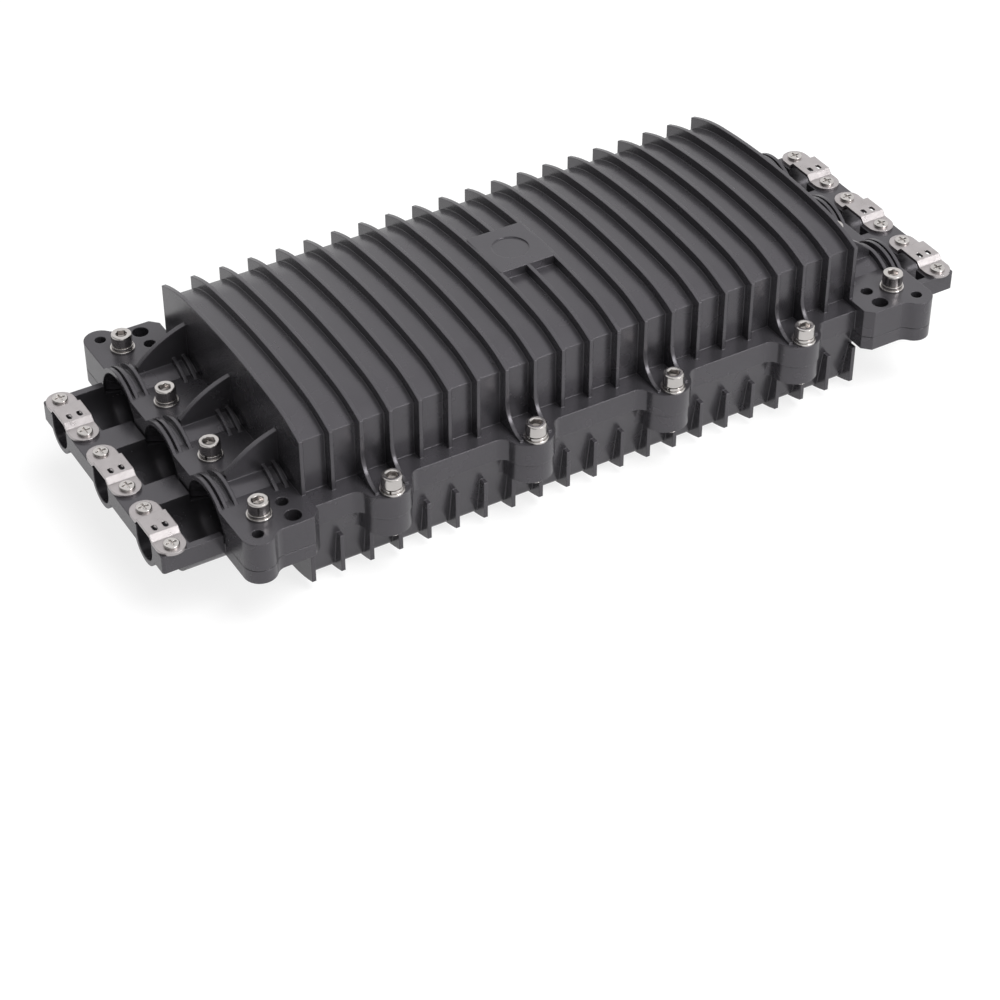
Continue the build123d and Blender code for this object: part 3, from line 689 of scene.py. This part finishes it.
@dataclass
class Fasteners:
    """Closing bolts with their washers and captive nuts.

    Args:
        side_pitch: Distance between side bolts in mm.
        side_count: Side bolts on each long side.
        side_y: Distance of the side bolts from the centre line.
        side_top: Height of the side flange.
        side_low: Underside of the side flange.
        end_x: Distance of the end bolts from the middle.
        end_ys: Distances of the end bolts from the centre line.
        end_top: Height of the end flange.
        end_low: Underside of the end flange.
        shank: Bolt length under the head.
        thread_length: Threaded length.
        thread_pitch: Distance between thread crests.
        thread_start: Height of the first thread above the tip.
        thread_runout: Plain length from the last thread's height to the full shank.
        thread_flank: Height of each thread's root above its foot.
        thread_root: Radius between the crests.
        thread_crest: Radius of the crests and of the plain shank.
        washer: Thickness of the plain washer.
        washer_radius: Radius of the plain washer.
        washer_bore: Bore radius of both washers.
        spring: Thickness of the lock washer.
        spring_radius: Radius of the lock washer.
        spring_lead: Rise of the lock washer across its split.
        spring_split: Angle in degrees of that split.
        nut_pocket: Depth of the nut pockets.
        nut_height: Height of a nut.
        nut_radius: Radius of a nut over its knurl.
        nut_bore: Bore radius of a nut.
    """

    side_pitch: float = 75.0
    side_count: int = 4
    side_y: float = 83.5
    side_top: float = 48.0
    side_low: float = 26.0
    end_x: float = 173.0
    end_ys: tuple[float, float] = (23.45, 72.5)
    end_top: float = 51.0
    end_low: float = 29.0
    shank: float = 28.0
    thread_length: float = 18.0
    thread_pitch: float = 1.0
    thread_start: float = 0.8
    thread_runout: float = 1.2
    thread_flank: float = 0.1
    thread_root: float = 2.5
    thread_crest: float = 2.95
    washer: float = 1.2
    washer_radius: float = 6.0
    washer_bore: float = 3.3
    spring: float = 1.6
    spring_radius: float = 5.3
    spring_lead: float = 0.12
    spring_split: float = 11.0
    nut_pocket: float = 4.0
    nut_height: float = 5.0
    nut_radius: float = 4.38
    nut_bore: float = 3.15

    def seats(self) -> list[tuple[float, float, float, float]]:
        """Bolt places with the heights of the flange above and below.

        Returns:
            X, Y, top and underside of each seat in mm.
        """
        middle = (self.side_count - 1) / 2
        side_xs = [self.side_pitch * (index - middle) for index in range(self.side_count)]
        places = [(x, side * self.side_y, self.side_top, self.side_low)
                  for x in side_xs for side in (-1, 1)]
        places += [(end * self.end_x, side * y, self.end_top, self.end_low)
                   for end in (-1, 1) for y in self.end_ys for side in (-1, 1)]
        return places

    def bolt(self) -> Turned:
        """Draw the knurled socket head bolt with its threaded shank, seated at zero.

        Returns:
            The prototype.
        """
        tip, crest = -self.shank, self.thread_crest
        steps = [Step(ring.radius, tip + ring.height) for ring in BOLT_TIP]
        for index in range(int(self.thread_length / self.thread_pitch)):
            low = tip + self.thread_start + index * self.thread_pitch
            steps += [Step(self.thread_root, low + self.thread_flank),
                      Step(crest, low + self.thread_pitch / 2)]
        steps += [Step(crest, tip + self.thread_length + self.thread_runout), Step(crest, 0.0)]
        return Turned("bolt_prototype", (*steps, *BOLT_HEAD), segments=48)

    def plain_washer(self) -> Turned:
        """Draw the plain washer with rolled edges.

        Returns:
            The prototype.
        """
        bore, rim, top = self.washer_bore, self.washer_radius, self.washer
        steps = (Step(bore, 0.0), Step(rim - 0.15, 0.0), Step(rim, 0.2), Step(rim, top - 0.25),
                 Step(rim - 0.2, top), Step(bore, top))
        return Turned("washer_prototype", steps, hollow=True)

    def lock_washer(self) -> Turned:
        """Draw the split lock washer with its ends a little out of line.

        Returns:
            The prototype.
        """
        bore, rim, top = self.washer_bore, self.spring_radius, self.spring - self.spring_lead
        steps = (Step(bore, 0.0), Step(rim - 0.1, 0.0), Step(rim, 0.15), Step(rim, top - 0.15),
                 Step(rim - 0.1, top), Step(bore, top))
        return Turned("lock_prototype", steps, hollow=True, split=self.spring_split,
                      lead=self.spring_lead)

    def nut(self) -> Turned:
        """Draw the round knurled nut with turned edges.

        Returns:
            The prototype.
        """
        bore, rim, top = self.nut_bore, self.nut_radius, self.nut_height
        steps = (Step(bore, 0.0), Step(rim - 0.28, 0.0), Step(rim, 0.3), Step(rim, 0.6, Ring.KNURL),
                 Step(rim, top - 0.6, Ring.KNURL), Step(rim, top - 0.3), Step(rim - 0.28, top),
                 Step(bore, top))
        return Turned("nut_prototype", steps, hollow=True)

    def build(self) -> None:
        """Set every fastener on its seat."""
        seats = self.seats()
        head = self.washer + self.spring
        bolts = [(x, y, top + head) for x, y, top, _ in seats]
        flats = [(x, y, top) for x, y, top, _ in seats]
        locks = [(x, y, top + self.washer) for x, y, top, _ in seats]
        nuts = [(x, y, low + self.nut_pocket - self.nut_height) for x, y, _, low in seats]
        for name, maker, places, body, node, turn in (
            ("closing_bolts", self.bolt, bolts, Body.COVER, "cover_bolts", 60.0),
            ("plain_washers", self.plain_washer, flats, Body.COVER, "flat_washers", 0.0),
            ("lock_washers", self.lock_washer, locks, Body.COVER, "spring_washers", 360.0),
            ("knurled_nuts", self.nut, nuts, Body.BASE, "captive_nuts", 0.0),
        ):
            SeatedSet(name, maker(), places, BOLT_STEEL, body, node, "bolt_steel",
                      largest_turn=turn).build()


@dataclass(frozen=True)
class Lamp:
    """A square soft lamp aimed at the object.

    Args:
        name: Object name.
        place: Place in metres.
        power: Power in watts.
        size: Width in metres.
        mirrored: Whether glossy surfaces reflect it.
    """

    name: str
    place: Point
    power: float
    size: float
    mirrored: bool = True

    def build(self) -> bpy.types.Object:
        """Hang the lamp, facing the middle of the object.

        Returns:
            The lamp.
        """
        data = bpy.data.lights.new(self.name, "AREA")
        data.energy = self.power
        data.size = self.size
        lamp = bpy.data.objects.new(self.name, data)
        lamp.location = self.place
        aim = Vector(LAMP_AIM) - Vector(self.place)
        lamp.rotation_euler = aim.to_track_quat("-Z", "Y").to_euler()
        lamp.visible_glossy = self.mirrored
        bpy.context.scene.collection.objects.link(lamp)
        return lamp


@dataclass
class Studio:
    """Camera, pale floor, white surround and soft lamps.

    Args:
        lens: Focal length in mm.
        sensor: Width of the camera's sensor in mm.
        sight: Farthest distance that the camera sees, in metres.
        azimuth: Camera azimuth in degrees.
        elevation: Camera elevation in degrees.
        eye: Camera position in mm.
        floor_size: Width of the floor in metres.
        shade: Share of the floor's shading that the camera and glossy surfaces see.
        shade_reach: Distances in metres between which that share fades away.
        floor_glow: Brightness of the floor as the camera sees it, and as glossy surfaces do.
        floor_tone: Reflectance of the floor in its shaded share.
        lamps: Lamps that light the object.
        plain_light: Brightness of the surround as rough surfaces receive it.
        seen_light: Brightness of the surround as the camera sees it.
        left_shade: Directions between which the reflected surround falls off to the left,
            and what is left of it there.
    """

    lens: float = 95.91
    sensor: float = 36.0
    sight: float = 50.0
    azimuth: float = -30.58
    elevation: float = 39.09
    eye: Point = (-542.18, -905.17, 794.23)
    floor_size: float = 8.0
    shade: float = 0.25
    shade_reach: tuple[float, float] = (0.35, 0.9)
    floor_glow: tuple[float, float] = (1.05, 0.76)
    floor_tone: float = 0.9
    lamps: list[Lamp] = field(default_factory=lambda: [
        Lamp("glint_lamp", (0.86, -1.74, 1.03), 18.0, 0.9),
        Lamp("key_lamp", (0.45, -0.68, 2.08), 63.0, 1.6, mirrored=False),
    ])
    plain_light: float = 0.4
    seen_light: float = 1.0
    left_shade: tuple[float, float, float] = (-0.75, -0.25, 0.12)

    def camera(self) -> bpy.types.Object:
        """Place the camera at the photograph's viewpoint.

        Returns:
            The scene's camera.
        """
        turn = math.radians(self.azimuth)
        lift = math.radians(self.elevation)
        level = math.cos(lift)
        back = Vector((math.sin(turn) * level, -math.cos(turn) * level, math.sin(lift)))
        right = Vector((0, 0, 1)).cross(back).normalized()
        up = back.cross(right)
        spin = Matrix((right, up, back)).transposed().to_4x4()
        data = bpy.data.cameras.new("viewpoint")
        data.lens = self.lens
        data.sensor_width = self.sensor
        data.clip_end = self.sight
        seen = bpy.data.objects.new("viewpoint", data)
        seen.matrix_world = Matrix.Translation(Vector(self.eye) * MM) @ spin
        bpy.context.scene.collection.objects.link(seen)
        bpy.context.scene.camera = seen
        return seen

    def surround(self) -> None:
        """Surround the object with white, fainter for rough surfaces and toward the left."""
        world = bpy.data.worlds.new("white_surround")
        bpy.context.scene.world = world
        world.use_nodes = True
        tree = world.node_tree
        tree.nodes.clear()
        outlet = NodeKit.add(tree, "ShaderNodeOutputWorld")
        path = NodeKit.add(tree, "ShaderNodeLightPath")
        place = NodeKit.add(tree, "ShaderNodeTexCoord")
        parts = NodeKit.add(tree, "ShaderNodeSeparateXYZ")
        fall = NodeKit.add(tree, "ShaderNodeMapRange", {
            "From Min": self.left_shade[0],
            "From Max": self.left_shade[1],
            "To Min": self.left_shade[2],
        }, interpolation_type="SMOOTHSTEP")
        seen = NodeKit.add(tree, "ShaderNodeMath", operation="MAXIMUM")
        mirrored = NodeKit.add(tree, "ShaderNodeBackground", {"Color": WHITE})
        plain, white = (
            NodeKit.add(tree, "ShaderNodeBackground", {"Color": WHITE, "Strength": strength})
            for strength in (self.plain_light, self.seen_light)
        )
        lit = NodeKit.add(tree, "ShaderNodeMixShader")
        mix = NodeKit.add(tree, "ShaderNodeMixShader")
        NodeKit.join(tree, (
            (place, "Generated", parts, "Vector"),
            (parts, "X", fall, "Value"),
            (fall, "Result", mirrored, "Strength"),
            (path, "Is Glossy Ray", lit, "Fac"),
            (plain, "Background", lit, 1),
            (mirrored, "Background", lit, 2),
            (path, "Is Camera Ray", seen, 0),
            (path, "Is Transmission Ray", seen, 1),
            (seen, "Value", mix, "Fac"),
            (lit, "Shader", mix, 1),
            (white, "Background", mix, 2),
            (mix, "Shader", outlet, "Surface"),
        ))

    def floor(self) -> bpy.types.Object:
        """Pale floor that shows white but keeps the object's shadow.

        Returns:
            The floor.
        """
        half = self.floor_size / 2
        mesh = bpy.data.meshes.new("floor")
        rim = [(-half, -half, 0), (half, -half, 0), (half, half, 0), (-half, half, 0)]
        mesh.from_pydata(rim, [], [(0, 1, 2, 3)])
        made = bpy.data.materials.new("pale_floor")
        made.use_nodes = True
        tree = made.node_tree
        tree.nodes.clear()
        outlet = NodeKit.add(tree, "ShaderNodeOutputMaterial")
        path = NodeKit.add(tree, "ShaderNodeLightPath")
        seen = NodeKit.add(tree, "ShaderNodeMath", operation="MAXIMUM")
        place = NodeKit.add(tree, "ShaderNodeTexCoord")
        reach = NodeKit.add(tree, "ShaderNodeVectorMath", operation="LENGTH")
        fade = NodeKit.add(tree, "ShaderNodeMapRange", {
            "From Min": self.shade_reach[0],
            "From Max": self.shade_reach[1],
            "To Min": 1.0 - self.shade,
        }, interpolation_type="SMOOTHSTEP")
        share = NodeKit.add(tree, "ShaderNodeMath", operation="MULTIPLY")
        matt = NodeKit.add(tree, "ShaderNodeBsdfDiffuse", {
            "Color": (self.floor_tone, self.floor_tone, self.floor_tone, 1.0),
        })
        glow = NodeKit.add(tree, "ShaderNodeEmission", {"Color": WHITE})
        level = NodeKit.add(tree, "ShaderNodeMapRange", {
            "To Min": self.floor_glow[1],
            "To Max": self.floor_glow[0],
        })
        mix = NodeKit.add(tree, "ShaderNodeMixShader")
        NodeKit.join(tree, (
            (path, "Is Camera Ray", seen, 0),
            (path, "Is Glossy Ray", seen, 1),
            (path, "Is Camera Ray", level, "Value"),
            (level, "Result", glow, "Strength"),
            (place, "Object", reach, 0),
            (reach, "Value", fade, "Value"),
            (seen, "Value", share, 0),
            (fade, "Result", share, 1),
            (share, "Value", mix, "Fac"),
            (matt, "BSDF", mix, 1),
            (glow, "Emission", mix, 2),
            (mix, "Shader", outlet, "Surface"),
        ))
        mesh.materials.append(made)
        floor = bpy.data.objects.new("floor", mesh)
        bpy.context.scene.collection.objects.link(floor)
        return floor

    def build(self) -> None:
        """Set up the whole studio."""
        view = bpy.context.scene.view_settings
        view.view_transform = "Standard"
        self.camera()
        self.surround()
        self.floor()
        for lamp in self.lamps:
            lamp.build()


class Housing:
    """The two ribbed shells with their gaskets."""

    def build(self) -> None:
        """Skin the shells and dress the gaskets."""
        Twin("base_shell", "base", SHELL_PLASTIC, "shell").build()
        Twin("cover_shell", "cover", SHELL_PLASTIC, "shell").build()
        for side in ("front", "rear"):
            Twin(f"gasket_{side}", "base", SEAL_RUBBER, "rubber").build()


@dataclass
class CableSaddles:
    """The steel saddles that hold the cables down, and their screws.

    Args:
        count: Number of saddles.
    """

    count: int = 6

    def build(self) -> None:
        """Skin every saddle and its screws."""
        for number in range(1, self.count + 1):
            Twin(f"cable_saddle_{number}", "base", SADDLE_STEEL, "saddle_steel").build()
        Twin("saddle_screws", "base", BOLT_STEEL, "bolt_steel").build()


@dataclass
class Interior:
    """Tray plate, posts, hinge bracket and the stack of trays.

    Args:
        tray_count: Number of trays in the stack.
    """

    tray_count: int = 6

    def build(self) -> None:
        """Skin every inner piece."""
        for node, finish, slot in (
            ("tray_plate", PLATE_METAL, "plate_metal"),
            ("plate_screws", BOLT_STEEL, "bolt_steel"),
            ("post_bases", CORE_PLASTIC, "dark_plastic"),
            ("post_nuts", BOLT_STEEL, "bolt_steel"),
            ("strength_posts", BOLT_STEEL, "bolt_steel"),
            ("tray_bracket", CORE_PLASTIC, "dark_plastic"),
        ):
            Twin(node, "base", finish, slot).build()
        for number in range(1, self.tray_count + 1):
            for kind in ("tray", "holder"):
                Twin(f"splice_{kind}_{number}", f"tray_{number}", FROSTED_TRAY, "frosted").build()
        Twin("tray_lid", f"tray_{self.tray_count}", CLEAR_LID, "clear").build()


def main() -> None:
    """Build the studio and the object."""
    logging.basicConfig(level=logging.INFO, format="%(name)s: %(message)s")
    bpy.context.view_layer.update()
    Studio().build()
    for assembly in (Housing(), Fasteners(), CableSaddles(), Interior()):
        assembly.build()
        log.info("%s is done", type(assembly).__name__)


if __name__ == "__main__":
    main()
